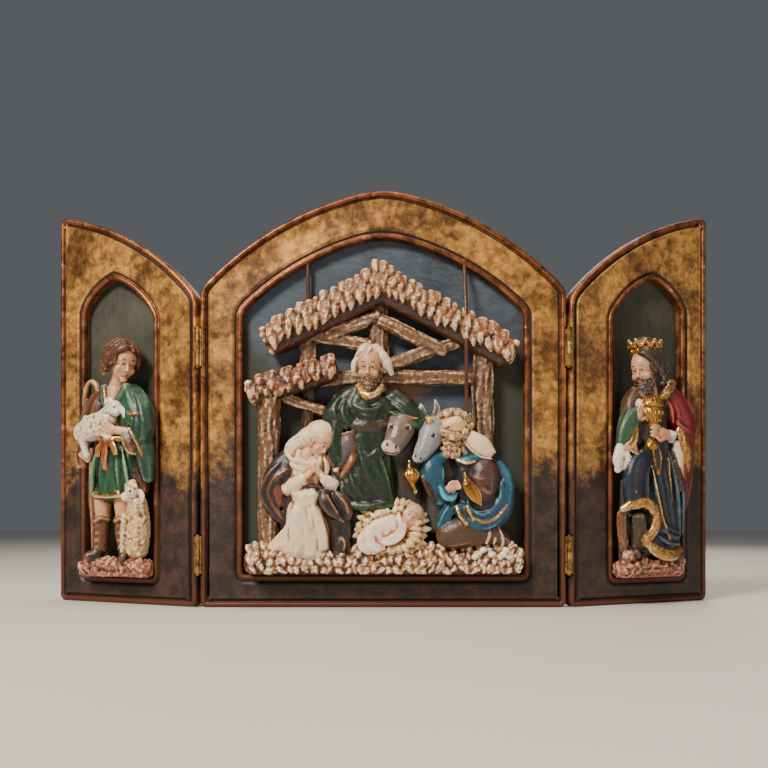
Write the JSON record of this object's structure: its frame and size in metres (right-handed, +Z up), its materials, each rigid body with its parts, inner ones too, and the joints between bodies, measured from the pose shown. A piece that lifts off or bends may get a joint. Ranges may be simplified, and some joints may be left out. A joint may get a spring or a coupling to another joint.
{
  "type": "folding nativity altarpiece",
  "caption": "Table-top folding altarpiece: an arched centre panel with a nativity relief and two hinged wings with a shepherd and a king, in gilded frames.",
  "frame": {"origin": "centre of the centre frame's underside", "axes": "+Z up, the painted front faces -Y, +X to the viewer's right"},
  "size_m": [0.4222, 0.0725, 0.2504],
  "materials": {
    "gilded_frame": "cast resin, antique gold over dark brown, copper beads",
    "sky_board": "painted sky, slate blue with peach clouds, brushed",
    "dark_board": "dark olive paint, smooth",
    "painted_relief": "cast resin, painted in many colours with gold trims, satin",
    "hinge_brass": "satin, a little tarnished"
  },
  "bodies": {
    "centre": {"centre_frame": "gilded_frame", "centre_back_board": "sky_board", "nativity_group": "painted_relief", "left_lower_hinge_frame_leaf": "hinge_brass", "left_lower_hinge_pin": "hinge_brass", "left_upper_hinge_frame_leaf": "hinge_brass", "left_upper_hinge_pin": "hinge_brass", "right_lower_hinge_frame_leaf": "hinge_brass", "right_lower_hinge_pin": "hinge_brass", "right_upper_hinge_frame_leaf": "hinge_brass", "right_upper_hinge_pin": "hinge_brass"},
    "left_wing": {"left_wing_frame": "gilded_frame", "left_wing_board": "dark_board", "shepherd_group": "painted_relief", "left_lower_hinge_wing_leaf": "hinge_brass", "left_upper_hinge_wing_leaf": "hinge_brass"},
    "right_wing": {"right_wing_frame": "gilded_frame", "right_wing_board": "dark_board", "king_group": "painted_relief", "right_lower_hinge_wing_leaf": "hinge_brass", "right_upper_hinge_wing_leaf": "hinge_brass"}
  },
  "joints": [
    {"name": "left_wing_fold", "type": "hinge", "parent": "centre", "child": "left_wing", "pos_m": [-0.11155, -0.01, 0], "axis": [0, 0, 1], "range_deg": [0, 140]},
    {"name": "right_wing_fold", "type": "hinge", "parent": "centre", "child": "right_wing", "pos_m": [0.11155, -0.01, 0], "axis": [0, 0, -1], "range_deg": [0, 140]}
  ]
}
